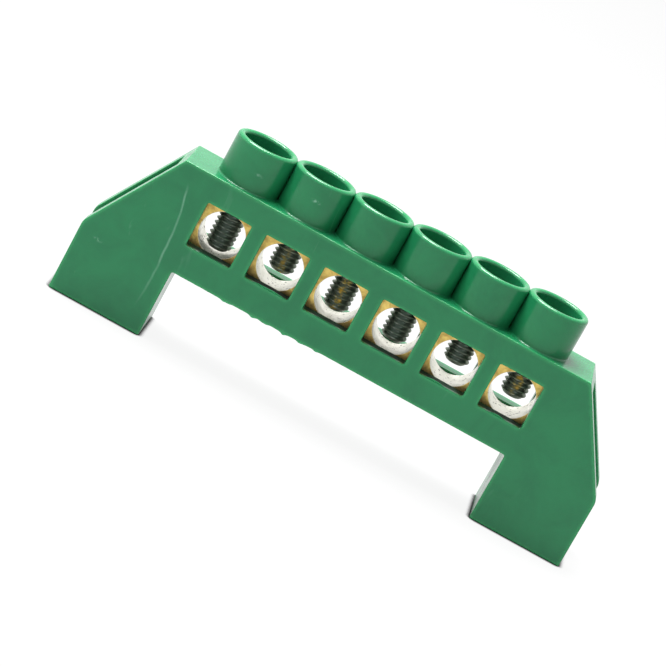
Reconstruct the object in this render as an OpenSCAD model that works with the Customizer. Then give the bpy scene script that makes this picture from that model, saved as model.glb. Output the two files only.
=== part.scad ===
// Earth terminal bar: a one-piece moulded bridge housing that holds a drilled brass bar,
// with six clamp screws standing in round wells above six square wire windows.
// +X runs along the bar, +Z is up, and the origin is under the middle, on the feet's plane.

/* [Terminals] */
// Distance between neighbouring terminals
terminal_pitch = 9.0; // [8.6:0.1:12]
// Margin of each square window round its wire bore
window_margin = 0.1; // [0:0.05:0.5]
// Height of the windows' middle above the bores' axes
window_offset = 0.4; // [0:0.05:0.6]
// Corner radius of the wire windows
window_corner = 0.25; // [0.05:0.05:1]

/* [Screw wells] */
// Wall thickness of each screw well
well_wall = 1.05; // [0.9:0.05:1.4]
// Height of the wells above the deck
well_height = 6.2; // [4.5:0.1:9]
// Rounding of the wells' rims
rim_round = 0.3; // [0.1:0.05:0.4]

/* [Housing] */
// Thickness of the housing from front to back
housing_thickness = 11.0; // [10:0.1:14]
// Height of the opening between the feet
gap_height = 10.2; // [8:0.1:16]
// Thickness of the beam's floor, under the brass bar
beam_floor = 2.8; // [2:0.1:4]
// Thickness of the beam's roof, above the brass bar
beam_roof = 1.7; // [1.2:0.1:2.5]
// Length of plain deck outside the last well at each end
shoulder_length = 4.05; // [3.2:0.05:8]
// How far each sloping end runs outward
slope_run = 8.65; // [7:0.05:12]
// Height of the upright face below each slope
end_height = 10.6; // [8:0.1:14]
// Corner radius where the slope meets the upright face
slope_corner = 2.2; // [0.5:0.1:4]
// Corner radius where the deck meets the slope
deck_corner = 0.35; // [0.1:0.05:1]

/* [Feet] */
// Length of each foot along the bar
foot_length = 13.95; // [13:0.05:18]
// Thickness of the foot's floor, which the mounting screw clamps
foot_floor = 3.0; // [2:0.1:5]
// Thickness of the foot's inner wall, beside the opening
foot_wall = 2.2; // [1.6:0.1:3]
// Diameter of the mounting hole
mount_hole = 4.2; // [3:0.1:5]
// Distance from the mounting hole's axis to the outer end
mount_inset = 5.85; // [4:0.05:7]
// Fillet where the feet meet the beam
gap_corner = 0.5; // [0.1:0.1:2]

/* [Brass bar] */
// Thickness of the bar from front to back
bar_thickness = 6.0; // [5:0.1:7]
// Height of the bar
bar_height = 10.0; // [9.6:0.1:11]
// How far the bar's ends lie inside the ends of the deck
bar_inset = 1.1; // [0.5:0.1:3]
// Broken edge along the bar
bar_chamfer = 0.3; // [0.1:0.05:0.6]
// Diameter of the wire bores
wire_bore = 6.5; // [4.5:0.1:6.6]
// Height of the wire bores' axes above the bar's underside
bore_rise = 4.45; // [4.2:0.05:4.7]
// How far the bar has settled along its channel towards +X
bar_shift = 0.25; // [0:0.05:0.3]

/* [Clamp screws] */
// Outside diameter of the screw thread
thread_diameter = 4.0; // [3:0.1:4.2]
// Distance between thread crests
thread_pitch = 0.7; // [0.5:0.05:1]
// Depth of the thread
thread_depth = 0.42; // [0.25:0.01:0.45]
// Diameter of the screw head
head_diameter = 6.3; // [5.4:0.1:6.6]
// Height of the screw head
head_height = 2.6; // [1.8:0.1:3]
// Broken edge round the top of the head
head_chamfer = 0.35; // [0.1:0.05:0.6]
// Width of the driver slot
slot_width = 1.2; // [0.8:0.1:1.4]
// Depth of the driver slot
slot_depth = 1.3; // [0.8:0.1:1.5]
// How far each screw is backed out from its seat on the bar, from -X to +X
screw_lift = [0.1, 1.6, 0.7, 0.8, 2.2, 2.0]; // [0.1:0.05:3]

/* [Clearances] */
// Gap between the bar and each side of its channel
bar_side_clearance = 0.15; // [0.1:0.05:0.3]
// Gap between the bar and the channel's roof
bar_top_clearance = 0.2; // [0.1:0.05:0.4]
// Radial gap between the screw crests and the bar's screw holes
thread_clearance = 0.05; // [0.02:0.01:0.1]
// Radial gap between a screw head and its well, with the bar in the middle of its channel
head_clearance = 0.35; // [0.35:0.05:0.6]
// Gap between the tip of a seated screw and the bottom of the wire bore
tip_clearance = 0.5; // [0.5:0.05:1]

/* [Hidden] */

$fn = 72;
corner_steps = 8;
round_steps = 24;
cut = 1;

housing_green = [0.13, 0.52, 0.30];
brass = [0.80, 0.62, 0.30];
plated_steel = [0.52, 0.53, 0.53];

terminal_count = len(screw_lift);
pattern_half = (terminal_count - 1) * terminal_pitch / 2;

well_bore = head_diameter + 2 * head_clearance;
well_radius = well_bore / 2 + well_wall;
deck_half = pattern_half + well_radius + shoulder_length;
end_half = deck_half + slope_run;
gap_half = end_half - foot_length;

channel_floor = gap_height + beam_floor;
channel_roof = channel_floor + bar_height + bar_top_clearance;
channel_width = bar_thickness + 2 * bar_side_clearance;
deck_height = channel_roof + beam_roof;
rim_height = deck_height + well_height;

bar_top = channel_floor + bar_height;
bar_half = deck_half - bar_inset;
bore_height = channel_floor + bore_rise;
window_size = wire_bore + 2 * window_margin;
screw_length = bar_height - bore_rise + wire_bore / 2 - tip_clearance;
screw_hole = thread_diameter + 2 * thread_clearance;
thread_root = thread_diameter / 2 - thread_depth;
crest_count = floor((screw_length - thread_pitch) / thread_pitch);

// Places along X of every terminal's axis
function terminal_x(i) = -pattern_half + i * terminal_pitch;

// Unit vector along v
function unit(v) = v / norm(v);

// Arc of radius r that rounds corner b of the outline a, b, c
function corner_arc(a, b, c, r) =
    let (
        u = unit(a - b),
        v = unit(c - b),
        half = acos(u * v) / 2,
        centre = b + unit(u + v) * r / sin(half),
        start = b + u * r / tan(half) - centre,
        first = atan2(start.y, start.x),
        turn = sign(cross(b - a, c - b)) * (180 - 2 * half)
    )
    [for (k = [0 : corner_steps]) let (t = first + turn * k / corner_steps) centre + r * [cos(t), sin(t)]];

// Outline with every corner rounded: each corner is [x, y, radius]
function rounded_outline(corners) =
    let (n = len(corners), p = [for (c = corners) [c.x, c.y]])
    [for (i = [0 : n - 1]) each corner_arc(p[(i + n - 1) % n], p[i], p[(i + 1) % n], corners[i].z)];

// Puts its children at both ends of the housing, as mirror images
module both_ends() {
    children();
    mirror([1, 0, 0]) children();
}

// Puts its children on every terminal's axis
module each_terminal() {
    for (i = [0 : terminal_count - 1]) translate([terminal_x(i), 0, 0]) children();
}

// Extrudes an outline drawn in X and Z along Y, centred on the plane Y = 0
module side_extrude(depth) {
    rotate([90, 0, 0]) linear_extrude(depth, center = true) children();
}

// Side view of the bridge: a flat deck, two sloping ends and two feet
module bridge_outline() {
    foot_corner = deck_corner;
    right = [
        [gap_half, gap_height, gap_corner],
        [gap_half, 0, foot_corner],
        [end_half, 0, foot_corner],
        [end_half, end_height, slope_corner],
        [deck_half, deck_height, deck_corner]
    ];
    left = [for (i = [len(right) - 1 : -1 : 0]) [-right[i].x, right[i].y, right[i].z]];
    polygon(rounded_outline(concat(right, left)));
}

// Tube round one screw well, with a rounded rim
module well_tube() {
    inner = well_bore / 2;
    foot = deck_height - beam_roof / 2;
    rotate_extrude() {
        translate([inner, foot]) square([well_wall, rim_height - rim_round - foot]);
        translate([inner + rim_round, rim_height - 2 * rim_round])
            square([well_wall - 2 * rim_round, 2 * rim_round]);
        for (x = [inner + rim_round, inner + well_wall - rim_round])
            translate([x, rim_height - rim_round]) circle(rim_round, $fn = round_steps);
    }
}

// Hollow of one screw well, down through the roof into the bar's channel
module well_hollow() {
    translate([0, 0, channel_roof - cut])
        cylinder(d = well_bore, h = well_height + beam_roof + 2 * cut);
}

// Square window through both walls of the beam
module wire_window() {
    w = window_size / 2;
    corners = [[-w, -w], [w, -w], [w, w], [-w, w]];
    translate([0, 0, bore_height + window_offset])
        side_extrude(housing_thickness + 2 * cut)
            polygon(rounded_outline([for (c = corners) [c.x, c.y, window_corner]]));
}

// Channel that holds the bar, open at both sloping ends
module bar_channel() {
    translate([-end_half - cut, -channel_width / 2, channel_floor])
        cube([2 * (end_half + cut), channel_width, channel_roof - channel_floor]);
}

// Slot over one foot, open to the top and to the outer end, with the mounting hole in its floor
module foot_slot() {
    start = gap_half + foot_wall;
    translate([start, -channel_width / 2, foot_floor])
        cube([foot_length, channel_width, channel_floor - foot_floor + cut]);
    translate([end_half - mount_inset, 0, -cut])
        cylinder(d = mount_hole, h = foot_floor + 2 * cut);
}

// Moulded housing in one piece
module housing() {
    color(housing_green)
    difference() {
        union() {
            side_extrude(housing_thickness) bridge_outline();
            each_terminal() well_tube();
        }
        each_terminal() well_hollow();
        each_terminal() wire_window();
        bar_channel();
        both_ends() foot_slot();
    }
}

// Section of the brass bar in Y and Z, with broken edges
module bar_section() {
    w = bar_thickness / 2;
    c = bar_chamfer;
    polygon([
        [-w + c, 0], [w - c, 0], [w, c], [w, bar_height - c],
        [w - c, bar_height], [-w + c, bar_height], [-w, bar_height - c], [-w, c]
    ]);
}

// Brass bar with a cross bore for each wire and a screw hole down into each bore
module brass_bar() {
    color(brass)
    translate([bar_shift, 0, channel_floor])
    difference() {
        rotate([90, 0, 90]) linear_extrude(2 * bar_half, center = true) bar_section();
        each_terminal() {
            translate([0, 0, bore_rise]) rotate([90, 0, 0])
                cylinder(d = wire_bore, h = bar_thickness + 2 * cut, center = true);
            translate([0, 0, bore_rise]) cylinder(d = screw_hole, h = bar_height);
        }
    }
}

// Half section of a clamp screw: flat tip, ringed shank and cheese head, from the tip up
module screw_section() {
    crest = thread_diameter / 2;
    neck = crest_count * thread_pitch;
    head = head_diameter / 2;
    top = screw_length + head_height;
    rings = [for (k = [0 : crest_count - 1]) each [
        [thread_root, k * thread_pitch],
        [crest, (k + 0.4) * thread_pitch],
        [crest, (k + 0.6) * thread_pitch]
    ]];
    polygon(concat(
        [[0, 0]],
        rings,
        [
            [thread_root, neck], [thread_root, screw_length], [head, screw_length],
            [head, top - head_chamfer], [head - head_chamfer, top], [0, top]
        ]
    ));
}

// Clamp screw i, backed out by its own lift and turned as its thread has carried it
module clamp_screw(i) {
    top = screw_length + head_height;
    color(plated_steel)
    translate([terminal_x(i) + bar_shift, 0, bar_top - screw_length + screw_lift[i]])
    rotate([0, 0, -360 * screw_lift[i] / thread_pitch])
    difference() {
        rotate_extrude() screw_section();
        translate([-head_diameter, -slot_width / 2, top - slot_depth])
            cube([2 * head_diameter, slot_width, slot_depth + cut]);
    }
}

housing();
brass_bar();
clamp_screw(0);  // clamp_screw_1
clamp_screw(1);  // clamp_screw_2
clamp_screw(2);  // clamp_screw_3
clamp_screw(3);  // clamp_screw_4
clamp_screw(4);  // clamp_screw_5
clamp_screw(5);  // clamp_screw_6
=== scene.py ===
"""Looks of the earth terminal bar: moulded green housing, brass bar and clamp screws.

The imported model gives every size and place. Each sub-assembly is a class that reads its
extent from the frame, builds its meshes in metres and dresses them with a finish.
"""

from __future__ import annotations

import logging
import math
from dataclasses import dataclass
from enum import Enum
from functools import reduce
from typing import Sequence

import bmesh
import bpy
from mathutils import Matrix, Vector, noise


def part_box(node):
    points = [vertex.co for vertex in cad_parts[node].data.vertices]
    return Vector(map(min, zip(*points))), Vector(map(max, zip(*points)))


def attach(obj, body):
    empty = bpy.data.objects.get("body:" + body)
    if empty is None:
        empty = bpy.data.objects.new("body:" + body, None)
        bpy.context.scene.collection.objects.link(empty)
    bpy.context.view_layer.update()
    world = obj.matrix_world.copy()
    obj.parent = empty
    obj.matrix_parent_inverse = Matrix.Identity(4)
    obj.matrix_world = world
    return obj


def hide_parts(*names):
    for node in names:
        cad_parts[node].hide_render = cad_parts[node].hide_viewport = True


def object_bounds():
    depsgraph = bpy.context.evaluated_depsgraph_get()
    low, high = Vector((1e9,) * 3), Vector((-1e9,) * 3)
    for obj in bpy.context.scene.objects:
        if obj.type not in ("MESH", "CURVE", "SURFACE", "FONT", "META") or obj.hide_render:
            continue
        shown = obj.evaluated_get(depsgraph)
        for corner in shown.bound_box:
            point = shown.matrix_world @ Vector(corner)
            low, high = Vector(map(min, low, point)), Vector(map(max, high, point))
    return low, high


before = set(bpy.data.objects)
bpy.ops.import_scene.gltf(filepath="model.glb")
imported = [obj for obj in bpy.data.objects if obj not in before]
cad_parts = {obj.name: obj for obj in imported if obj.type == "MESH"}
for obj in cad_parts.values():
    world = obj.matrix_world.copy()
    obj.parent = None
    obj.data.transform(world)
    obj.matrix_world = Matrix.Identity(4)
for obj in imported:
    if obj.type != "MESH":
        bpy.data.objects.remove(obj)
CAD_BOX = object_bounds()

MM = 0.001
MAIN_BODY = "bar_in_housing"
# Screws whose material gets painted brass-coloured glints.
GLINTED_SCREWS = (2, 3, 6)
WHITE = (1.0, 1.0, 1.0, 1.0)
LOG = logging.getLogger("terminal_bar")

Point = tuple[float, float]
Profile = Sequence[Point]
Colour = tuple[float, float, float, float]
Material = bpy.types.Material
Mesh = bpy.types.Mesh
Node = bpy.types.Node
Object = bpy.types.Object
Socket = bpy.types.NodeSocket
Tree = bpy.types.NodeTree


class Slot(Enum):
    """Material slots of the record."""

    NYLON = "green_nylon"
    BRASS = "brass"
    STEEL = "plated_steel"


# ---- mesh helpers ----


@dataclass(frozen=True)
class Corner:
    """One corner of an outline.

    Args:
        x: First coordinate, in metres.
        y: Second coordinate, in metres.
        radius: Radius that rounds the corner, in metres.
    """

    x: float
    y: float
    radius: float


def rounded_outline(corners: Sequence[Corner], inset: float = 0.0, steps: int = 8) -> list[Point]:
    """Rounds every corner of a counter-clockwise outline and moves it inward.

    Args:
        corners: The outline's corners.
        inset: Distance that the whole outline moves inward, negative for outward.
        steps: Number of straight pieces in each rounded corner.

    Returns:
        The outline's points, the same number for every inset.
    """
    points: list[Point] = []
    count = len(corners)
    for i, corner in enumerate(corners):
        here = Vector((corner.x, corner.y))
        before, after = corners[i - 1], corners[(i + 1) % count]
        u = (Vector((before.x, before.y)) - here).normalized()
        v = (Vector((after.x, after.y)) - here).normalized()
        half = u.angle(v) / 2
        side = 1.0 if v.x * u.y - v.y * u.x > 0 else -1.0
        centre = here + (u + v).normalized() * corner.radius / math.sin(half)
        start = here + u * corner.radius / math.tan(half) - centre
        first = math.atan2(start.y, start.x)
        radius = corner.radius - side * inset
        for k in range(steps + 1):
            angle = first + side * (math.pi - 2 * half) * k / steps
            points.append((centre.x + radius * math.cos(angle), centre.y + radius * math.sin(angle)))
    return points


def quarter_round(radius: float, steps: int = 3) -> list[Point]:
    """Quarter circle that rounds an edge.

    Args:
        radius: Radius of the rounding, in metres.
        steps: Number of straight pieces.

    Returns:
        Pairs of (distance from the side face, depth below the end face), from the end face on.
    """
    angles = [math.pi / 2 * k / steps for k in range(steps + 1)]
    return [(radius * (1 - math.sin(a)), radius * (1 - math.cos(a))) for a in angles]


def loft(name: str, rings: Sequence[Sequence[Vector]]) -> Mesh:
    """Closed solid through rings of equal length, with flat ends.

    Args:
        name: Name of the mesh.
        rings: Rings of points, in order along the solid.

    Returns:
        The mesh, with its faces turned outward.
    """
    bm = bmesh.new()
    rows = [[bm.verts.new(p) for p in ring] for ring in rings]
    count = len(rows[0])
    for low, high in zip(rows, rows[1:]):
        for i in range(count):
            j = (i + 1) % count
            bm.faces.new((low[i], low[j], high[j], high[i]))
    bm.faces.new(list(reversed(rows[0])))
    bm.faces.new(rows[-1])
    bmesh.ops.recalc_face_normals(bm, faces=bm.faces)
    mesh = bpy.data.meshes.new(name)
    bm.to_mesh(mesh)
    bm.free()
    return mesh


def side_prism(name: str, corners: Sequence[Corner], stations: Profile, steps: int = 8) -> Mesh:
    """Solid whose outline in X and Z changes its inset along Y.

    Args:
        name: Name of the mesh.
        corners: The outline's corners in X and Z.
        stations: Pairs of (y, inset), from front to back.
        steps: Number of straight pieces in each rounded corner.

    Returns:
        The mesh.
    """
    rings = [[Vector((x, y, z)) for x, z in rounded_outline(corners, inset, steps)] for y, inset in stations]
    return loft(name, rings)


def lathe(name: str, profile: Profile, centre: Vector, segments: int, axis: str = "Z") -> Mesh:
    """Solid of revolution.

    Args:
        name: Name of the mesh.
        profile: Pairs of (radius, height), from one end to the other.
        centre: A point on the axis, at height zero.
        segments: Number of flats round the axis.
        axis: "Z", or "Y" for a solid that lies along Y.

    Returns:
        The mesh.
    """
    rings = []
    for radius, height in profile:
        ring = []
        for k in range(segments):
            angle = 2 * math.pi * k / segments
            a, b = radius * math.cos(angle), radius * math.sin(angle)
            offset = Vector((a, b, height)) if axis == "Z" else Vector((a, height, -b))
            ring.append(centre + offset)
        rings.append(ring)
    return loft(name, rings)


def lathed_row(name: str, profile: Profile, places: Sequence[float], segments: int) -> Mesh:
    """The same upright solid of revolution at several places along X."""
    return joined(name, [lathe(name, profile, Vector((x, 0, 0)), segments) for x in places])


def block(name: str, low: Vector, high: Vector) -> Mesh:
    """Plain box between two corners, used as a cutter.

    Args:
        name: Name of the mesh.
        low: Lowest corner.
        high: Highest corner.

    Returns:
        The mesh.
    """
    ring = ((low.x, low.y), (high.x, low.y), (high.x, high.y), (low.x, high.y))
    return loft(name, [[Vector((x, y, z)) for x, y in ring] for z in (low.z, high.z)])


def joined(name: str, meshes: Sequence[Mesh]) -> Mesh:
    """One mesh from several that don't touch.

    Args:
        name: Name of the new mesh.
        meshes: The meshes to join, which are removed.

    Returns:
        The new mesh.
    """
    bm = bmesh.new()
    for mesh in meshes:
        bm.from_mesh(mesh)
        bpy.data.meshes.remove(mesh)
    result = bpy.data.meshes.new(name)
    bm.to_mesh(result)
    bm.free()
    return result


def linked(name: str, data: bpy.types.ID) -> Object:
    """Adds an object to the scene.

    Args:
        name: The object's name.
        data: Its mesh, lamp or camera.

    Returns:
        The object.
    """
    item = bpy.data.objects.new(name, data)
    bpy.context.scene.collection.objects.link(item)
    return item


class Cut(Enum):
    """What a boolean step does with its tool."""

    ADD = "UNION"
    REMOVE = "DIFFERENCE"


def combine(base: Mesh, tool: Mesh, how: Cut) -> Mesh:
    """Adds a solid to another, or cuts it out.

    Args:
        base: The solid that is changed, which is removed.
        tool: The solid that is added or cut out, which is removed.
        how: Whether the tool is added or cut out.

    Returns:
        The resulting mesh.
    """
    holder, cutter = linked("base", base), linked("tool", tool)
    step = holder.modifiers.new("step", "BOOLEAN")
    step.operation = how.value
    step.solver = "EXACT"
    step.object = cutter
    graph = bpy.context.evaluated_depsgraph_get()
    result = bpy.data.meshes.new_from_object(holder.evaluated_get(graph))
    name = base.name
    for item, mesh in ((holder, base), (cutter, tool)):
        bpy.data.objects.remove(item)
        bpy.data.meshes.remove(mesh)
    result.name = name
    return result


def tidy(mesh: Mesh, merge: float = 0.002 * MM) -> None:
    """Merges doubled points and drops faces without area.

    Args:
        mesh: The mesh to clean.
        merge: Distance under which points are merged.
    """
    bm = bmesh.new()
    bm.from_mesh(mesh)
    bmesh.ops.remove_doubles(bm, verts=bm.verts, dist=merge)
    bmesh.ops.dissolve_degenerate(bm, edges=bm.edges, dist=merge)
    bmesh.ops.recalc_face_normals(bm, faces=bm.faces)
    bm.to_mesh(mesh)
    bm.free()


def shade(mesh: Mesh, angle_deg: float = 32.0) -> None:
    """Smooth shading with crisp edges.

    Args:
        mesh: The mesh to shade.
        angle_deg: Angle above which an edge stays sharp.
    """
    mesh.polygons.foreach_set("use_smooth", [True] * len(mesh.polygons))
    mesh.set_sharp_from_angle(angle=math.radians(angle_deg))
    mesh.update()


def place(mesh: Mesh, name: str, body: str, slot: Slot, material: Material,
          weighted: bool = False) -> Object:
    """Turns a mesh into a piece that rides on a body.

    Args:
        mesh: The piece's mesh, in the row frame.
        name: The piece's name.
        body: The body that it moves with.
        slot: The record's material slot; not used.
        material: Its material.
        weighted: Whether broad faces set the normals of their edges.

    Returns:
        The piece.
    """
    piece = linked(name, mesh)
    mesh.materials.clear()
    mesh.materials.append(material)
    if weighted:
        normals = piece.modifiers.new("face_normals", "WEIGHTED_NORMAL")
        normals.keep_sharp = True
        normals.weight = 100
    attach(piece, body)
    LOG.info("%s: %d faces on %s", name, len(mesh.polygons), body)
    return piece


# ---- shader helpers ----


class Graph:
    """Short way to write a node tree."""

    def __init__(self, tree: Tree) -> None:
        """Keeps the tree.

        Args:
            tree: The node tree that nodes are added to.
        """
        self.tree = tree
        self.where: Socket | None = None

    def add(self, kind: str, inputs: dict | None = None, **settings: object) -> Node:
        """Adds a node.

        Args:
            kind: The node's type, without the leading "ShaderNode".
            inputs: Values or sockets for its inputs, by name or number.
            **settings: Attributes set on the node.

        Returns:
            The node.
        """
        node = self.tree.nodes.new(kind if kind.startswith("NodeGroup") else "ShaderNode" + kind)
        for key, value in settings.items():
            setattr(node, key, value)
        for key, value in (inputs or {}).items():
            self.feed(node.inputs[key], value)
        return node

    def feed(self, socket: Socket, value: object) -> None:
        """Links a socket to an input, or sets the input's value.

        Args:
            socket: The input.
            value: A socket to link, or a plain value.
        """
        if isinstance(value, Socket):
            self.tree.links.new(value, socket)
        else:
            socket.default_value = value

    def math(self, operation: str, a: object, b: object = 0.0, clamp: bool = False) -> Socket:
        """Result of a Math node on two values."""
        return self.add("Math", {0: a, 1: b}, operation=operation, use_clamp=clamp).outputs[0]

    def times(self, *parts: object) -> Socket:
        """Product of two or more values."""
        return reduce(lambda a, b: self.math("MULTIPLY", a, b), parts)

    def plus(self, *parts: object) -> Socket:
        """Sum of two or more values."""
        return reduce(lambda a, b: self.math("ADD", a, b), parts)

    def minus(self, a: object, b: object) -> Socket:
        """Difference of two values."""
        return self.math("SUBTRACT", a, b)

    def remap(self, value: object, low: float, high: float, to_low: float = 0.0,
              to_high: float = 1.0) -> Socket:
        """Value stretched from one range to another, and kept inside it."""
        inputs = {"Value": value, "From Min": low, "From Max": high, "To Min": to_low, "To Max": to_high}
        return self.add("MapRange", inputs, interpolation_type="SMOOTHSTEP").outputs[0]

    def mix(self, factor: object, a: object, b: object) -> Socket:
        """Colour between a and b."""
        return self.add("Mix", {0: factor, 6: a, 7: b}, data_type="RGBA").outputs[2]

    def noise(self, scale: object, detail: float, rough: float = 0.5, bent: float = 0.0) -> Socket:
        """Noise from 0 to 1."""
        inputs = {"Vector": self.where, "Scale": scale, "Detail": detail, "Roughness": rough,
                  "Distortion": bent}
        return self.add("TexNoise", inputs).outputs["Fac"]

    def split(self) -> Sequence[Socket]:
        """The three coordinates."""
        return self.add("SeparateXYZ", {0: self.where}).outputs

    def group(self, tree: Tree, inputs: dict[str, object]) -> Sequence[Socket]:
        """Results of a node group with its own values."""
        return self.add("Group", {"Vector": self.where, **inputs}, node_tree=tree).outputs


def new_group(name: str, inputs: Sequence[str], outputs: Sequence[str]) -> tuple[Tree, Graph, dict]:
    """Starts a shader node group that works at a place.

    Args:
        name: The group's name.
        inputs: Names of the numbers that it takes after its "Vector".
        outputs: Names of the numbers that it gives.

    Returns:
        The group, its graph and the sockets of its numbers by name.
    """
    tree = bpy.data.node_groups.new(name, "ShaderNodeTree")
    tree.interface.new_socket("Vector", in_out="INPUT", socket_type="NodeSocketVector")
    for way, keys in (("INPUT", inputs), ("OUTPUT", outputs)):
        for key in keys:
            tree.interface.new_socket(key, in_out=way, socket_type="NodeSocketFloat")
    graph = Graph(tree)
    entry = graph.add("NodeGroupInput").outputs
    graph.where = entry["Vector"]
    return tree, graph, {key: entry[key] for key in inputs}


def close_group(graph: Graph, values: dict[str, Socket]) -> None:
    """Links a group's results to its output node.

    Args:
        graph: The group's graph.
        values: Output names and the sockets that feed them.
    """
    leave = graph.add("NodeGroupOutput")
    for key, socket in values.items():
        graph.feed(leave.inputs[key], socket)


@dataclass
class Effects:
    """Node groups that more than one finish uses."""

    grain: Tree
    scuffs: Tree
    edges: Tree
    across: Tree

    @classmethod
    def build(cls) -> "Effects":
        """Makes the shared groups once."""
        return cls(cls._grain(), cls._scuffs(), cls._edges(), cls._across())

    def grained(self, g: Graph, fine: float, broad: float, share: float) -> Sequence[Socket]:
        """Height and mottle of a grained surface."""
        return g.group(self.grain, {"Fine Scale": fine, "Broad Scale": broad, "Broad Share": share})

    def rubbed(self, g: Graph, scale: float, amount: float) -> Socket:
        """Mask of short rub marks."""
        return g.group(self.scuffs, {"Scale": scale, "Amount": amount})[0]

    def edge_wear_and_sheen(self, g: Graph, reach: float, break_up: float) -> Socket:
        """Mask of outer edges, for wear and for painted highlights."""
        return g.group(self.edges, {"Distance": reach, "Break Up": break_up})[0]

    def beside(self, g: Graph, row: "Terminals") -> Socket:
        """Distance along X from the nearest screw's axis, with its sign."""
        return g.group(self.across, {"First": row.first_axis(), "Pitch": row.pitch})[0]

    @staticmethod
    def _across() -> Tree:
        """Group for the distance along X from the nearest terminal's middle, with its sign.

        Returns:
            The group.
        """
        tree, g, given = new_group("across_terminal", ("First", "Pitch"), ("Offset",))
        half = g.times(given["Pitch"], 0.5)
        along = g.plus(g.minus(g.split()[0], given["First"]), half)
        close_group(g, {"Offset": g.minus(g.math("MODULO", along, given["Pitch"]), half)})
        return tree

    @staticmethod
    def _grain() -> Tree:
        """Group for the fine and broad unevenness of a surface, as a height and a mask.

        Returns:
            The group.
        """
        inputs = ("Fine Scale", "Broad Scale", "Broad Share")
        tree, g, given = new_group("surface_grain", inputs, ("Height", "Mottle"))
        broad = g.times(g.noise(given["Broad Scale"], 2.0), given["Broad Share"])
        height = g.plus(g.noise(given["Fine Scale"], 3.0, 0.55), broad)
        mottle = g.remap(g.noise(given["Broad Scale"], 6.0, 0.7, 0.6), 0.32, 0.68)
        close_group(g, {"Height": height, "Mottle": mottle})
        return tree

    @staticmethod
    def _scuffs() -> Tree:
        """Group for sparse short rub marks, as a mask.

        Returns:
            The group.
        """
        tree, g, given = new_group("rub_marks", ("Scale", "Amount"), ("Mask",))
        spot = g.remap(g.noise(g.times(given["Scale"], 0.16), 1.0), 0.52, 0.7)
        turned = {"Vector": g.where, "Rotation": (0.3, 0.5, 0.2), "Scale": (1.0, 1.0, 0.22)}
        g.where = g.add("Mapping", turned).outputs[0]
        line = g.remap(g.noise(given["Scale"], 2.0, bent=1.6), 0.66, 0.74)
        close_group(g, {"Mask": g.math("MULTIPLY", g.times(line, spot), given["Amount"], clamp=True)})
        return tree

    @staticmethod
    def _edges() -> Tree:
        """Group for a mask that is high near outer edges, broken up by noise.

        Returns:
            The group.
        """
        tree, g, given = new_group("outer_edges", ("Distance", "Break Up"), ("Mask",))
        near = g.add("AmbientOcclusion", {"Distance": given["Distance"]}, inside=True, samples=6)
        raised = g.remap(near.outputs["AO"], 0.55, 0.98, 1.0, 0.0)
        rough = g.times(g.noise(900.0, 3.0), given["Break Up"])
        close_group(g, {"Mask": g.math("SUBTRACT", raised, rough, clamp=True)})
        return tree


def new_material(name: str) -> tuple[Material, Graph, Node]:
    """Starts a material with a Principled shader.

    Args:
        name: The material's name.

    Returns:
        The material, its graph at the object's own coordinates, and its Principled node.
    """
    material = bpy.data.materials.new(name)
    material.use_nodes = True
    graph = Graph(material.node_tree)
    graph.where = graph.add("TexCoord").outputs["Object"]
    return material, graph, material.node_tree.nodes["Principled BSDF"]


def relief(g: Graph, shader: Node, height: Socket, strength: float, distance: float) -> None:
    """Feeds a fine relief to a shader's normal."""
    bump = g.add("Bump", {"Height": height, "Strength": strength, "Distance": distance})
    g.feed(shader.inputs["Normal"], bump.outputs["Normal"])


@dataclass(frozen=True)
class Scrape:
    """One short scrape on the front of the housing.

    Args:
        x: Place of its middle along X, in metres.
        z: Height of its middle, in metres.
        reach: Its half length, in metres.
        strength: How pale it is, from 0 to 1.
    """

    x: float
    z: float
    reach: float
    strength: float


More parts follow.
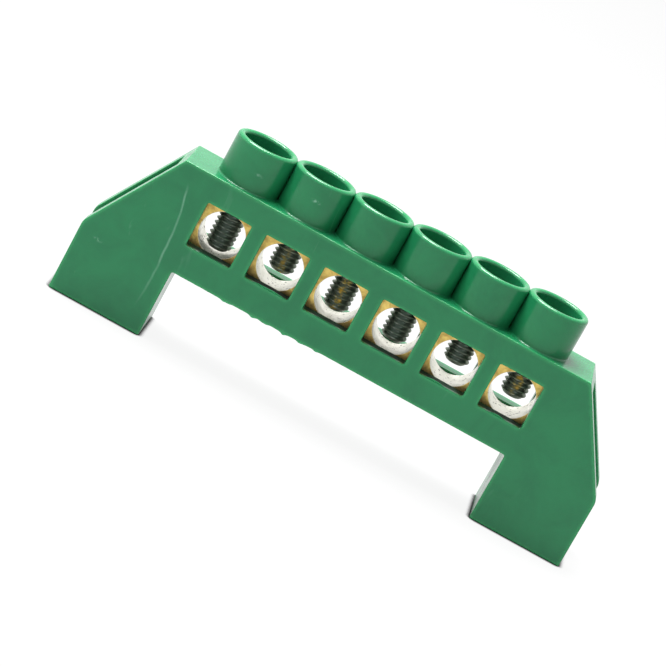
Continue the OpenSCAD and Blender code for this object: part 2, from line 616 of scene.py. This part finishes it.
@dataclass(frozen=True)
class NylonFinish:
    """Satin moulded nylon with flow marks, rub marks, painted highlights on its edges and painted shade on
    its window sills.
    """

    base: Colour = (0.012, 0.188, 0.070, 1.0)
    deep: Colour = (0.009, 0.160, 0.061, 1.0)
    # Colour of the painted highlight on outer edges.
    edge: Colour = (0.035, 0.330, 0.110, 1.0)
    rub: Colour = (0.26, 0.52, 0.38, 1.0)
    # Colour of the painted shade on the front windows' sills.
    painted_sill_shade: Colour = (0.020, 0.026, 0.020, 1.0)
    roughness: float = 0.18
    refraction: float = 1.42
    subsurface: float = 0.12
    subsurface_tint: tuple[float, float, float] = (0.25, 1.0, 0.45)
    subsurface_reach: float = 0.8 * MM
    edge_highlight_share: float = 0.75
    rub_amount: float = 0.12
    weld_share: float = 0.40
    weld_x: float = -27.95 * MM
    weld_bend: float = 9.4
    weld_from: float = 10.0 * MM
    weld_width: float = 0.26 * MM
    scrapes: tuple[Scrape, ...] = (
        Scrape(-36.7 * MM, 9.2 * MM, 0.9 * MM, 0.25), Scrape(-13.2 * MM, 28.3 * MM, 0.9 * MM, 0.5),
        Scrape(-21.6 * MM, 27.6 * MM, 0.8 * MM, 0.3),
    )

    def material(self, effects: Effects, housing: "Housing") -> Material:
        """Builds the material.

        Args:
            effects: The shared node groups.
            housing: The housing, which gives the places of its sills.

        Returns:
            The material.
        """
        material, g, shader = new_material("moulded_nylon")
        height, mottle = effects.grained(g, 2600.0, 160.0, 3.0)
        colour = g.mix(mottle, self.base, self.deep)
        # Painted highlight: outer edges turn a lighter green.
        edges = effects.edge_wear_and_sheen(g, 0.7 * MM, 0.25)
        colour = g.mix(g.times(edges, self.edge_highlight_share), colour, self.edge)
        rubs = effects.rubbed(g, 420.0, self.rub_amount)
        marks = g.math("MAXIMUM", rubs, g.times(self._weld_line(g), self.weld_share), clamp=True)
        for scrape in self.scrapes:
            marks = g.math("MAXIMUM", marks, self._scrape(g, scrape))
        colour = g.mix(marks, colour, self.rub)
        # Painted shade: the front windows' sills turn near black, and rougher so they show no gloss.
        painted_sill_shade = self._sill_shade_mask(g, housing, mottle)
        g.feed(shader.inputs["Base Color"], g.mix(painted_sill_shade, colour, self.painted_sill_shade))
        rough = g.remap(mottle, 0.0, 1.0, self.roughness, self.roughness + 0.08)
        rough = g.plus(rough, g.times(marks, 0.15))
        g.feed(shader.inputs["Roughness"], g.math("ADD", rough, g.times(painted_sill_shade, 0.6), clamp=True))
        shader.inputs["IOR"].default_value = self.refraction
        shader.inputs["Subsurface Weight"].default_value = self.subsurface
        shader.inputs["Subsurface Radius"].default_value = self.subsurface_tint
        shader.inputs["Subsurface Scale"].default_value = self.subsurface_reach
        relief(g, shader, height, 0.16, 0.03 * MM)
        return material

    def _scrape(self, g: Graph, scrape: Scrape) -> Socket:
        """Short pale scrape, made of a few fine lines.

        Args:
            g: The material's graph.
            scrape: Its place, length and strength.

        Returns:
            A mask of the scrape.
        """
        x, y, z = g.split()
        across = g.math("DIVIDE", g.minus(x, scrape.x), scrape.reach)
        rise = g.math("DIVIDE", g.minus(z, scrape.z), scrape.reach)
        tilted = g.plus(across, g.times(rise, 0.5))
        far = g.math("SQRT", g.plus(g.times(tilted, tilted), g.times(rise, rise, 5.0)))
        lines = g.remap(g.noise(2200.0, 2.0), 0.38, 0.62)
        front = g.remap(y, -2.0 * MM, -1.5 * MM, 1.0, 0.0)
        return g.times(g.remap(far, 0.2, 1.0, scrape.strength, 0.0), lines, front)

    def _sill_shade_mask(self, g: Graph, housing: "Housing", mottle: Socket) -> Socket:
        """Painted shade that darkens the front windows' sills.

        Args:
            g: The material's graph.
            housing: The housing, which gives the height of the sills.
            mottle: Broad unevenness that breaks the painted shade up.

        Returns:
            A mask of the painted shade.
        """
        x, y, z = g.split()
        sill = housing.window_z - housing.window / 2
        row_end = housing.terminals.places()[-1] + housing.window / 2
        level = g.remap(g.math("ABSOLUTE", g.minus(z, sill)), 0.05 * MM, 0.7 * MM, 1.0, 0.0)
        depth = g.remap(y, 0.25 * MM - housing.face, 0.9 * MM - housing.face)
        front = g.remap(y, -1.0 * MM, 0.0, 1.0, 0.0)
        in_row = g.remap(g.math("ABSOLUTE", x), row_end, row_end + 0.3 * MM, 1.0, 0.0)
        return g.times(g.remap(mottle, 0.0, 1.0, 0.70, 0.95), level, depth, front, in_row)

    def _weld_line(self, g: Graph) -> Socket:
        """Pale line where two fronts of the melt met, on the front of the left foot.

        Args:
            g: The material's graph.

        Returns:
            A mask of the line.
        """
        x, y, z = g.split()
        above = g.math("MAXIMUM", g.minus(z, self.weld_from), 0.0)
        wander = g.noise(180.0, 2.0)
        shift = g.times(g.minus(wander, 0.5), 1.2 * MM)
        off = g.plus(g.minus(x, self.weld_x), g.times(above, above, self.weld_bend), shift)
        line = g.remap(g.math("ABSOLUTE", off), 0.0, self.weld_width, 1.0, 0.0)
        low = g.remap(z, 3.0 * MM, 9.0 * MM)
        high = g.remap(z, 20.0 * MM, 22.5 * MM, 1.0, 0.0)
        front = g.remap(y, -5.3 * MM, -5.0 * MM, 1.0, 0.0)
        return g.times(line, low, high, front, g.remap(wander, 0.3, 0.6, 0.35, 1.0))


@dataclass(frozen=True)
class BrassFinish:
    """Drawn brass with a grained, slightly tarnished face, painted shade near its lower edge and a painted
    pale reflection in its bores.
    """

    bright: Colour = (0.86, 0.64, 0.19, 1.0)
    dull: Colour = (0.60, 0.41, 0.12, 1.0)
    stain_and_shade: Colour = (0.14, 0.10, 0.05, 1.0)
    bore_reflection: Colour = (1.0, 0.98, 0.88, 1.0)
    speck: Colour = (0.10, 0.08, 0.06, 1.0)

    def material(self, effects: Effects, bar: "BrassBar") -> Material:
        """Builds the material.

        Args:
            effects: The shared node groups.
            bar: The bar, which gives the places of its bores.

        Returns:
            The material.
        """
        material, g, shader = new_material("drawn_brass")
        height, mottle = effects.grained(g, 3200.0, 700.0, 1.5)
        colour = g.mix(mottle, self.bright, self.dull)
        colour = g.mix(effects.rubbed(g, 900.0, 0.8), colour, self.stain_and_shade)
        # Painted shade: the face turns dark towards the window sill.
        foot = g.remap(g.split()[2], bar.sill, bar.sill + 1.7 * MM, 0.85, 0.0)
        colour = g.mix(g.times(foot, g.remap(mottle, 0.0, 1.0, 0.7, 1.0)), colour, self.stain_and_shade)
        # Painted reflection: the bores' walls are near white, with dark specks.
        dots = g.remap(g.noise(2100.0, 3.0), 0.60, 0.69)
        inside = g.mix(dots, self.bore_reflection, self.speck)
        g.feed(shader.inputs["Base Color"], g.mix(self._bore_wall(g, effects, bar), colour, inside))
        shader.inputs["Metallic"].default_value = 1.0
        g.feed(shader.inputs["Roughness"], g.remap(mottle, 0.0, 1.0, 0.34, 0.52))
        relief(g, shader, height, 0.35, 0.03 * MM)
        return material

    def _bore_wall(self, g: Graph, effects: Effects, bar: "BrassBar") -> Socket:
        """Mask of the wire bores' walls, which get a painted pale reflection.

        Args:
            g: The material's graph.
            effects: The shared node groups.
            bar: The bar, which gives the places of its bores.

        Returns:
            The mask.
        """
        across = effects.beside(g, bar.terminals)
        rise = g.minus(g.split()[2], bar.axis_height)
        away = g.math("SQRT", g.plus(g.times(across, across), g.times(rise, rise)))
        return g.remap(away, bar.bore / 2 + 0.02 * MM, bar.bore / 2 + 0.08 * MM, 1.0, 0.0)


@dataclass(frozen=True)
class SteelFinish:
    """Plated steel, painted dark for the shade it sits in, with fine rolling marks and, on some screws,
    painted brass-coloured glints.
    """

    # Painted shade: this base colour is far darker than plated steel.
    base: Colour = (0.21, 0.25, 0.22, 1.0)
    edge_wear_and_sheen: Colour = (0.55, 0.56, 0.50, 1.0)
    glint_colour: Colour = (0.62, 0.46, 0.13, 1.0)
    glint_amount: float = 0.0

    def material(self, effects: Effects, row: "Terminals") -> Material:
        """Builds the material.

        Args:
            effects: The shared node groups.
            row: The row of terminals, which gives the places of the screws.

        Returns:
            The material.
        """
        name = "plated_screw_glinted" if self.glint_amount else "plated_screw"
        material, g, shader = new_material(name)
        height, mottle = effects.grained(g, 4200.0, 900.0, 1.0)
        # Lighter thread crests: partly wear, partly painted highlight.
        edges = effects.edge_wear_and_sheen(g, 0.15 * MM, 0.5)
        colour = g.mix(g.times(edges, 0.6), self.base, self.edge_wear_and_sheen)
        # Painted reflection: brass-coloured glints in a strip down the front and back of each screw.
        strip = g.remap(g.math("ABSOLUTE", effects.beside(g, row)), 0.25 * MM, 0.95 * MM, 1.0, 0.0)
        flecks = g.remap(g.noise(1700.0, 3.0), 0.42, 0.60)
        patch = g.remap(g.noise(95.0, 1.0), 0.30, 0.50)
        glint = g.times(flecks, patch, strip, self.glint_amount)
        g.feed(shader.inputs["Base Color"], g.mix(glint, colour, self.glint_colour))
        shader.inputs["Metallic"].default_value = 1.0
        g.feed(shader.inputs["Roughness"], g.remap(mottle, 0.0, 1.0, 0.28, 0.42))
        relief(g, shader, height, 0.2, 0.02 * MM)
        return material


# ---- the pieces ----


@dataclass(frozen=True)
class Terminals:
    """Places of the terminals, taken from the screws of the frame."""

    count: int
    pitch: float
    bar_shift: float

    @classmethod
    def from_frame(cls) -> "Terminals":
        """Reads the screws' places and the bar's shift along its channel.

        Returns:
            The row of terminals.
        """
        names = [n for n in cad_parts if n.startswith("clamp_screw_")]
        middles = sorted((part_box(n)[0].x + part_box(n)[1].x) / 2 for n in names)
        pitch = (middles[-1] - middles[0]) / (len(middles) - 1)
        return cls(len(middles), pitch, sum(middles) / len(middles))

    def first_axis(self) -> float:
        """Place along X of the first screw's axis."""
        return self.places()[0] + self.bar_shift

    def places(self) -> list[float]:
        """Places along X of the wells and windows."""
        return [(i - (self.count - 1) / 2) * self.pitch for i in range(self.count)]


@dataclass
class Housing:
    """Moulded bridge housing with wells, windows, bar channel and foot slots."""

    terminals: Terminals
    edge_round: float = 0.16 * MM
    deck_half: float = 31.1 * MM
    gap_half: float = 25.8 * MM
    gap_height: float = 10.2 * MM
    end_height: float = 10.6 * MM
    deck_height: float = 24.9 * MM
    slope_corner: float = 2.2 * MM
    deck_corner: float = 0.22 * MM
    gap_corner: float = 0.28 * MM
    well_bore: float = 7.0 * MM
    well_wall: float = 1.05 * MM
    rim_round: float = 0.48 * MM
    well_fillet: float = 0.22 * MM
    window: float = 6.7 * MM
    window_corner: float = 0.25 * MM
    window_z: float = 17.85 * MM
    channel_half: float = 3.15 * MM
    channel_floor: float = 13.0 * MM
    channel_roof: float = 23.2 * MM
    foot_floor: float = 3.0 * MM
    foot_wall: float = 2.2 * MM
    mount_hole: float = 4.2 * MM
    mount_inset: float = 5.85 * MM
    margin: float = 1.0 * MM
    round_segments: int = 96
    hole_segments: int = 64
    outline_reach: float = 0.35 * MM

    def __post_init__(self) -> None:
        """Takes the overall sizes from the frame."""
        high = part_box("housing")[1]
        self.end_half = high.x
        self.face = high.y
        self.rim_height = high.z

    def build(self, material: Material) -> Object:
        """Builds the housing and puts it in place of its solid.

        Args:
            material: The housing's material.

        Returns:
            The piece.
        """
        mesh = self._bridge()
        for start in (0, 1):
            mesh = combine(mesh, self._wells(start), Cut.ADD)
        for cutter in (self._channel, self._foot_slots, self._hollows, self._windows, self._mount_holes):
            mesh = combine(mesh, cutter(), Cut.REMOVE)
        tidy(mesh)
        self._round_slot_edges(mesh)
        shade(mesh)
        piece = place(mesh, "housing_shell", MAIN_BODY, Slot.NYLON, material, weighted=True)
        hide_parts("housing")
        return piece

    def _bridge(self) -> Mesh:
        """Bridge-shaped body with rounded front and back edges.

        Returns:
            The body.
        """
        right = [
            Corner(self.gap_half, self.gap_height, self.gap_corner),
            Corner(self.gap_half, 0.0, self.deck_corner),
            Corner(self.end_half, 0.0, self.deck_corner),
            Corner(self.end_half, self.end_height, self.slope_corner),
            Corner(self.deck_half, self.deck_height, self.deck_corner),
        ]
        left = [Corner(-c.x, c.y, c.radius) for c in reversed(right)]
        front = [(-self.face + depth, inset) for inset, depth in quarter_round(self.edge_round)]
        back = [(-y, inset) for y, inset in reversed(front)]
        return side_prism("housing_shell", right + left, front + back)

    def _wells(self, start: int) -> Mesh:
        """Every second well as a plug that stands on the deck.

        Args:
            start: Number of the first well.

        Returns:
            The plugs in one mesh, a little apart from each other.
        """
        outer = self.well_bore / 2 + self.well_wall
        inner = self.well_bore / 4
        fillet, foot = self.well_fillet, self.deck_height - self.margin
        profile = [(inner, foot), (outer + fillet * 0.8, foot)]
        for k in range(4):
            angle = math.radians(258 - 26 * k)
            height = self.deck_height + fillet * (1 + math.sin(angle))
            profile.append((outer + fillet * (1 + math.cos(angle)), height))
        profile += self._rim(outer, self.rim_round) + [(inner, self.rim_height)]
        return lathed_row("wells", profile, self.terminals.places()[start::2], self.round_segments)

    def _rim(self, wall: float, rim: float) -> list[Point]:
        """Rounding from a well's wall up to its rim, inward, or outward for a negative radius."""
        turns, top = [math.radians(18 * k) for k in range(6)], self.rim_height
        return [(wall - rim * (1 - math.cos(a)), top - abs(rim) * (1 - math.sin(a))) for a in turns]

    def _hollows(self) -> Mesh:
        """Hollows of the wells, flared at their rims, down into the bar's channel.

        Returns:
            The cutter.
        """
        radius, rim = self.well_bore / 2, self.rim_round
        profile = [(radius, self.channel_roof - self.margin), *self._rim(radius, -rim),
                   (radius + rim, self.rim_height + self.margin)]
        return lathed_row("hollows", profile, self.terminals.places(), self.round_segments)

    def _windows(self) -> Mesh:
        """Square windows through both walls, rounded at their mouths.

        Returns:
            The cutter.
        """
        front = [(-self.face - self.margin, -self.edge_round)]
        front += [(-self.face + depth, -outward) for outward, depth in quarter_round(self.edge_round)]
        stations = front + [(-y, inset) for y, inset in reversed(front)]
        half, r = self.window / 2, self.window_corner
        signs = ((-1, -1), (1, -1), (1, 1), (-1, 1))
        tools = []
        for x in self.terminals.places():
            corners = [Corner(x + a * half, self.window_z + b * half, r) for a, b in signs]
            tools.append(side_prism("window", corners, stations, steps=4))
        return joined("windows", tools)

    def _channel(self) -> Mesh:
        """Lengthwise channel for the bar."""
        low = Vector((-self.end_half - self.margin, -self.channel_half, self.channel_floor))
        return block("channel", low, Vector((-low.x, self.channel_half, self.channel_roof)))

    def _foot_slots(self) -> Mesh:
        """Slots over both feet, open to the outer ends.

        Returns:
            The cutter.
        """
        near, far = self.gap_half + self.foot_wall, self.end_half + self.margin
        half, top = self.channel_half, self.channel_floor + self.margin / 2
        return joined("slots", [block("slot", Vector((a, -half, self.foot_floor)), Vector((b, half, top)))
                                for a, b in ((near, far), (-far, -near))])

    def _mount_holes(self) -> Mesh:
        """Holes for the mounting screws, with broken edges at both faces.

        Returns:
            The cutter.
        """
        radius, edge, floor = self.mount_hole / 2, self.edge_round, self.foot_floor
        wide = radius + edge
        profile = [(wide, -self.margin), (wide, 0.0), (radius, edge), (radius, floor - edge), (wide, floor),
                   (wide, floor + self.margin)]
        far = self.end_half - self.mount_inset
        return lathed_row("holes", profile, (-far, far), self.hole_segments)

    def _on_outline(self, point: Vector) -> bool:
        """Whether a point lies on a sloping or upright end of the housing.

        Args:
            point: The point.

        Returns:
            True where it does.
        """
        run = self.end_half - self.deck_half
        rise = self.deck_height - self.end_height
        reach = abs(point.x)
        limit = self.end_half * rise + self.end_height * run
        on_slope = abs(reach * rise + point.z * run - limit) / math.hypot(run, rise) < self.outline_reach
        return reach > self.deck_half - MM and (on_slope or abs(reach - self.end_half) < self.outline_reach)

    def _round_slot_edges(self, mesh: Mesh) -> None:
        """Rounds the long edges of the end slots.

        Args:
            mesh: The housing's mesh.
        """
        bm = bmesh.new()
        bm.from_mesh(mesh)
        bmesh.ops.dissolve_limit(bm, angle_limit=math.radians(0.5), verts=bm.verts, edges=bm.edges)
        chosen = []
        for edge in bm.edges:
            sides = all(abs(abs(v.co.y) - self.channel_half) < 0.005 * MM for v in edge.verts)
            if sides and len(edge.link_faces) == 2 and all(self._on_outline(v.co) for v in edge.verts):
                if edge.calc_face_angle(0.0) > math.radians(40):
                    chosen.append(edge)
        bmesh.ops.bevel(bm, geom=chosen, offset=self.edge_round, offset_type="OFFSET", segments=2,
                        profile=0.5, affect="EDGES", clamp_overlap=True)
        bm.to_mesh(mesh)
        bm.free()


@dataclass
class BrassBar:
    """Drawn brass bar with rounded bore mouths and screw holes."""

    terminals: Terminals
    bore: float = 6.5 * MM
    bore_rise: float = 4.45 * MM
    screw_hole: float = 4.1 * MM
    chamfer: float = 0.3 * MM
    mouth: float = 0.12 * MM
    sill: float = 14.5 * MM
    margin: float = 1.0 * MM

    def __post_init__(self) -> None:
        """Takes the height of the bores' axes from the frame."""
        self.axis_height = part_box("brass_bar")[0].z + self.bore_rise

    def build(self, material: Material) -> Object:
        """Builds the bar and puts it in place of its solid.

        Args:
            material: The bar's material.

        Returns:
            The piece.
        """
        low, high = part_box("brass_bar")
        c = self.chamfer
        section = [(low.y + c, low.z), (high.y - c, low.z), (high.y, low.z + c), (high.y, high.z - c),
                   (high.y - c, high.z), (low.y + c, high.z), (low.y, high.z - c), (low.y, low.z + c)]
        mesh = loft("brass_bar_drilled", [[Vector((x, y, z)) for y, z in section] for x in (low.x, high.x)])
        shift = self.terminals.bar_shift
        centres = [Vector((x + shift, 0, self.axis_height)) for x in self.terminals.places()]
        for name, tools in (("bores", [self._bore(p, high.y) for p in centres]),
                            ("screw_holes", [self._screw_hole(p, high.z) for p in centres])):
            mesh = combine(mesh, joined(name, tools), Cut.REMOVE)
        tidy(mesh)
        shade(mesh)
        piece = place(mesh, "brass_bar_drilled", MAIN_BODY, Slot.BRASS, material, weighted=True)
        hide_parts("brass_bar")
        return piece

    def _bore(self, centre: Vector, face: float) -> Mesh:
        """Cutter for one wire bore, with rounded mouths.

        Args:
            centre: The middle of the bore.
            face: How far the bar's faces lie from it.

        Returns:
            The cutter.
        """
        radius = self.bore / 2
        front = [(radius + self.mouth, -face - self.margin)]
        front += [(radius + outward, -face + depth) for outward, depth in quarter_round(self.mouth, 2)]
        profile = front + [(r, -y) for r, y in reversed(front)]
        return lathe("bore", profile, centre, 96, axis="Y")

    def _screw_hole(self, centre: Vector, top: float) -> Mesh:
        """Cutter for one screw hole, with a small countersink.

        Args:
            centre: The middle of the wire bore below.
            top: Height of the bar's top.

        Returns:
            The cutter.
        """
        radius, rise = self.screw_hole / 2, top - centre.z
        profile = [(radius, 0.0), (radius, rise - self.mouth), (radius + self.mouth, rise),
                   (radius + self.mouth, rise + self.margin)]
        return lathe("screw_hole", profile, centre, 48)


@dataclass
class ClampScrew:
    """One clamp screw with a helical thread and a slotted cheese head."""

    number: int
    thread_pitch: float = 0.72 * MM
    thread_depth: float = 0.40 * MM
    crest: float = 1.93 * MM
    head_height: float = 2.6 * MM
    head_round: float = 0.35 * MM
    slot_width: float = 1.2 * MM
    slot_depth: float = 1.3 * MM
    around: int = 48
    per_turn: int = 9
    tip_share: float = 0.82
    tip_slope: float = 1.1

    def build(self, material: Material) -> Object:
        """Builds the screw and puts it in place of its solid.

        Args:
            material: The screw's material.

        Returns:
            The piece.
        """
        node = f"clamp_screw_{self.number}"
        low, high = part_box(node)
        axis = Vector(((low.x + high.x) / 2, 0, 0))
        head = (high.x - low.x) / 2
        seat = high.z - self.head_height
        mesh = loft(node + "_threaded", self._rings(axis, low.z, seat, high.z, head))
        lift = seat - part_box("brass_bar")[1].z
        slot = block("slot", Vector((-head * 2, -self.slot_width / 2, high.z - self.slot_depth)),
                     Vector((head * 2, self.slot_width / 2, high.z + MM)))
        turn = -2 * math.pi * lift / self.thread_pitch
        slot.transform(Matrix.Translation(axis) @ Matrix.Rotation(turn, 4, "Z"))
        mesh = combine(mesh, slot, Cut.REMOVE)
        shade(mesh, 50.0)
        piece = place(mesh, node + "_threaded", f"screw_{self.number}", Slot.STEEL, material)
        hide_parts(node)
        return piece

    def _rings(self, axis: Vector, tip: float, seat: float, top: float, head: float) -> list[list[Vector]]:
        """Rings of the screw from its tip to the top of its head.

        Args:
            axis: A point on the screw's axis.
            tip: Height of the tip.
            seat: Height of the head's underside.
            top: Height of the head's top.
            head: Radius of the head.

        Returns:
            The rings.
        """
        root = self.crest - self.thread_depth
        step = self.thread_pitch / self.per_turn
        angles = [2 * math.pi * k / self.around for k in range(self.around)]
        heights = [tip + k * step for k in range(1, int((seat - tip) / step))]
        rows = [[(root * self.tip_share, tip)] * self.around]
        rows += [[(self._thread(height - tip, angle), height) for angle in angles] for height in heights]
        curve = reversed(quarter_round(self.head_round, 4)[:-1])
        bevel = [(head - inset, top - depth) for inset, depth in curve]
        for point in ((root, seat), (head, seat), (head, top - self.head_round), *bevel):
            rows.append([point] * self.around)
        return [[axis + Vector((radius * math.cos(a), radius * math.sin(a), height))
                 for a, (radius, height) in zip(angles, row)] for row in rows]

    def _thread(self, climb: float, angle: float) -> float:
        """Radius of the thread.

        Args:
            climb: Height above the tip.
            angle: Angle round the axis.

        Returns:
            The radius.
        """
        root = self.crest - self.thread_depth
        turn = climb / self.thread_pitch - angle / (2 * math.pi)
        wave = abs((turn % 1.0) * 2 - 1)
        lift = min(max((wave - 0.12) / 0.76, 0.0), 1.0)
        return min(root + self.thread_depth * lift, root * self.tip_share + climb * self.tip_slope)


@dataclass(frozen=True)
class Burr:
    """One bump of moulding flash.

    Args:
        at: Place along X, in metres.
        drop: How far it hangs below the edge, in metres.
        width: Its half length along X, in metres.
    """

    at: float
    drop: float
    width: float


@dataclass
class MouldFlash:
    """Thin ragged flash along the beam's lower front edge and on some window sills."""

    housing: Housing
    thickness: float = 0.10 * MM
    edge_steps: int = 600
    sill_steps: int = 40
    burrs: tuple[Burr, ...] = (
        Burr(-17.6 * MM, 0.16 * MM, 0.9 * MM), Burr(-13.3 * MM, 0.22 * MM, 0.5 * MM),
        Burr(-11.5 * MM, 0.14 * MM, 0.6 * MM), Burr(-8.5 * MM, 0.18 * MM, 0.5 * MM),
        Burr(-5.9 * MM, 0.14 * MM, 0.6 * MM), Burr(-3.6 * MM, 0.12 * MM, 0.4 * MM),
    )

    def build(self, material: Material) -> list[Object]:
        """Builds the flash pieces.

        Args:
            material: The housing's material.

        Returns:
            The pieces.
        """
        pieces = [place(self._edge(), "beam_edge_flash", MAIN_BODY, Slot.NYLON, material)]
        for number, start, end in ((2, 0.20, 0.95), (5, 0.15, 0.55), (6, 0.30, 0.62)):
            x = self.housing.terminals.places()[number - 1]
            low = x + self.housing.window * (start - 0.5)
            high = x + self.housing.window * (end - 0.5)
            name = f"sill_flash_{number}"
            pieces.append(place(self._sill(low, high, name), name, MAIN_BODY, Slot.NYLON, material))
        return pieces

    def _drop(self, x: float) -> float:
        """How far the flash hangs below the edge.

        Args:
            x: Place along X.

        Returns:
            The drop.
        """
        coarse = noise.noise(Vector((x / (0.9 * MM), 3.1, 0.0)))
        ragged = coarse + 0.5 * noise.noise(Vector((x / (0.3 * MM), 7.7, 0.0)))
        fade = min(max((12 * MM - x) / (20 * MM), 0.25), 1.0)
        total = 0.03 * MM * (1 + ragged) * fade
        for burr in self.burrs:
            total += burr.drop * math.exp(-((x - burr.at) / burr.width) ** 2) * (1 + 0.5 * ragged)
        return max(total, 0.004 * MM)

    def _edge(self) -> Mesh:
        """Strip of flash under the beam's lower front edge.

        Returns:
            The mesh.
        """
        h = self.housing
        reach = h.gap_half - 1.2 * MM
        front = -h.face + h.edge_round
        top = h.gap_height + 0.12 * MM
        rings = []
        for k in range(self.edge_steps + 1):
            x = -reach + 2 * reach * k / self.edge_steps
            rings.append([Vector((x, front - 0.02 * MM, top)),
                          Vector((x, front + self.thickness / 2, h.gap_height - self._drop(x))),
                          Vector((x, front + self.thickness, top))])
        return loft("beam_edge_flash", rings)

    def _sill(self, low: float, high: float, name: str) -> Mesh:
        """Curled sliver that stands on a window's sill.

        Args:
            low: Its lower end along X.
            high: Its higher end along X.
            name: Name of the mesh.

        Returns:
            The mesh.
        """
        h = self.housing
        sill = h.window_z - h.window / 2
        y = -h.face + h.edge_round + 0.05 * MM
        rings = []
        for k in range(self.sill_steps + 1):
            share = k / self.sill_steps
            x = low + (high - low) * share
            swell = math.sin(math.pi * share) ** 0.7
            uneven = 1 + 0.4 * noise.noise(Vector((x / (0.8 * MM), 1.0, 2.0)))
            rings.append([Vector((x, y, sill - 0.03 * MM)),
                          Vector((x, y - 0.08 * MM * swell, sill + (0.02 * MM + 0.20 * MM * swell * uneven))),
                          Vector((x, y + 0.06 * MM, sill - 0.03 * MM))])
        return loft(name, rings)


# ---- stage, lights and camera ----


def seen_directly(g: Graph) -> Socket:
    """1 on rays from the camera, off a gloss or through a clear body, and 0 on all others.

    Args:
        g: The graph that the nodes are added to.

    Returns:
        The mask.
    """
    path = g.add("LightPath").outputs
    bent = g.math("MAXIMUM", path["Is Glossy Ray"], path["Is Transmission Ray"])
    return g.math("MAXIMUM", path["Is Camera Ray"], bent)


@dataclass(frozen=True)
class View:
    """Camera that looks down on the bar from the front, rolled to one side."""

    eye: tuple[float, float, float] = (-5.505 * MM, -439.97 * MM, 135.70 * MM)
    yaw: float = 0.0066
    pitch: float = -0.27384
    roll: float = 0.50511
    focal_widths: float = 5.0034
    sensor: float = 36.0

    def build(self) -> Object:
        """Adds the camera and makes it the scene's own.

        Returns:
            The camera.
        """
        data = bpy.data.cameras.new("product_view")
        data.sensor_width = self.sensor
        data.lens = self.focal_widths * self.sensor
        data.clip_start, data.clip_end = 10 * MM, 10.0
        level = Vector((math.cos(self.yaw), -math.sin(self.yaw), 0.0))
        flat = math.cos(self.pitch)
        forward = Vector((math.sin(self.yaw) * flat, math.cos(self.yaw) * flat, math.sin(self.pitch)))
        above = level.cross(forward)
        right = level * math.cos(self.roll) + above * math.sin(self.roll)
        up = above * math.cos(self.roll) - level * math.sin(self.roll)
        turn = Matrix((right, up, -forward)).transposed().to_4x4()
        camera = linked("product_view", data)
        camera.matrix_world = Matrix.Translation(self.eye) @ turn
        bpy.context.scene.camera = camera
        return camera


@dataclass(frozen=True)
class Lamp:
    """One soft area lamp.

    Args:
        name: The lamp's name.
        place: Where it hangs, in metres.
        size: Width and height, in metres.
        power: Its power, in watts.
    """

    name: str
    place: tuple[float, float, float]
    size: tuple[float, float]
    power: float


@dataclass(frozen=True)
class Studio:
    """Pale floor, white surround and soft lamps."""

    reach: float = 1.5
    floor_drop: float = 0.02 * MM
    surround: float = 0.60
    floor_white: float = 0.58
    shadow_share: float = 0.10
    contact_reach: float = 1.1 * MM
    lamps: tuple[Lamp, ...] = (
        Lamp("top_softbox", (-0.12, 0.08, 0.42), (0.30, 0.26), 5.6),
        Lamp("left_panel", (-0.50, -0.10, 0.20), (0.3, 0.3), 0.25),
    )

    def build(self) -> None:
        """Adds the floor, the world and the lamps, which point at the bar's middle."""
        self._floor()
        self._world()
        aim = Vector((0.0, 0.0, CAD_BOX[1].z / 2))
        for lamp in self.lamps:
            data = bpy.data.lights.new(lamp.name, "AREA")
            data.shape = "RECTANGLE"
            data.size, data.size_y = lamp.size
            data.energy = lamp.power
            holder = linked(lamp.name, data)
            holder.location = lamp.place
            holder.rotation_mode = "QUATERNION"
            holder.rotation_quaternion = (aim - Vector(lamp.place)).to_track_quat("-Z", "Y")
            holder.visible_camera = False

    def _floor(self) -> None:
        """Level floor that is white to the camera but for the shadow on it."""
        r = self.reach
        z = CAD_BOX[0].z - self.floor_drop
        mesh = bpy.data.meshes.new("studio_floor")
        mesh.from_pydata([(-r, -r, z), (r, -r, z), (r, r, z), (-r, r, z)], [], [(0, 1, 2, 3)])
        floor = linked("studio_floor", mesh)
        material, g, shader = new_material("studio_floor")
        white = self.floor_white
        shader.inputs["Base Color"].default_value = (white, white, white, 1.0)
        shader.inputs["Roughness"].default_value = 0.9
        # Painted contact shadow: the glow that the camera sees dims where the object is close.
        near = g.add("AmbientOcclusion", {"Distance": self.contact_reach}, samples=16).outputs["AO"]
        glow = g.add("Emission", {"Color": WHITE, "Strength": g.remap(near, 0.50, 0.90)})
        share = g.times(seen_directly(g), 1.0 - self.shadow_share)
        mixed = g.add("MixShader", {0: share, 1: shader.outputs[0], 2: glow.outputs[0]})
        output = material.node_tree.nodes["Material Output"]
        g.feed(output.inputs["Surface"], mixed.outputs[0])
        mesh.materials.append(material)

    def _world(self) -> None:
        """White surround, plain white where the camera or a gloss sees it."""
        world = bpy.data.worlds.new("white_surround")
        world.use_nodes = True
        bpy.context.scene.world = world
        g = Graph(world.node_tree)
        strength = g.remap(seen_directly(g), 0.0, 1.0, self.surround, 1.0)
        back = world.node_tree.nodes["Background"]
        back.inputs["Color"].default_value = WHITE
        g.feed(back.inputs["Strength"], strength)


def main() -> None:
    """Builds the view, the stage and every piece."""
    logging.basicConfig(level=logging.INFO, format="%(message)s")
    View().build()
    Studio().build()
    effects = Effects.build()
    terminals = Terminals.from_frame()
    housing = Housing(terminals)
    bar = BrassBar(terminals)
    nylon = NylonFinish().material(effects, housing)
    brass = BrassFinish().material(effects, bar)
    plain_steel = SteelFinish().material(effects, terminals)
    glinted_steel = SteelFinish(glint_amount=0.85).material(effects, terminals)
    housing.build(nylon)
    MouldFlash(housing).build(nylon)
    bar.build(brass)
    for number in range(1, terminals.count + 1):
        ClampScrew(number).build(glinted_steel if number in GLINTED_SCREWS else plain_steel)
    bpy.context.scene.view_settings.view_transform = "Standard"


if __name__ == "__main__":
    main()
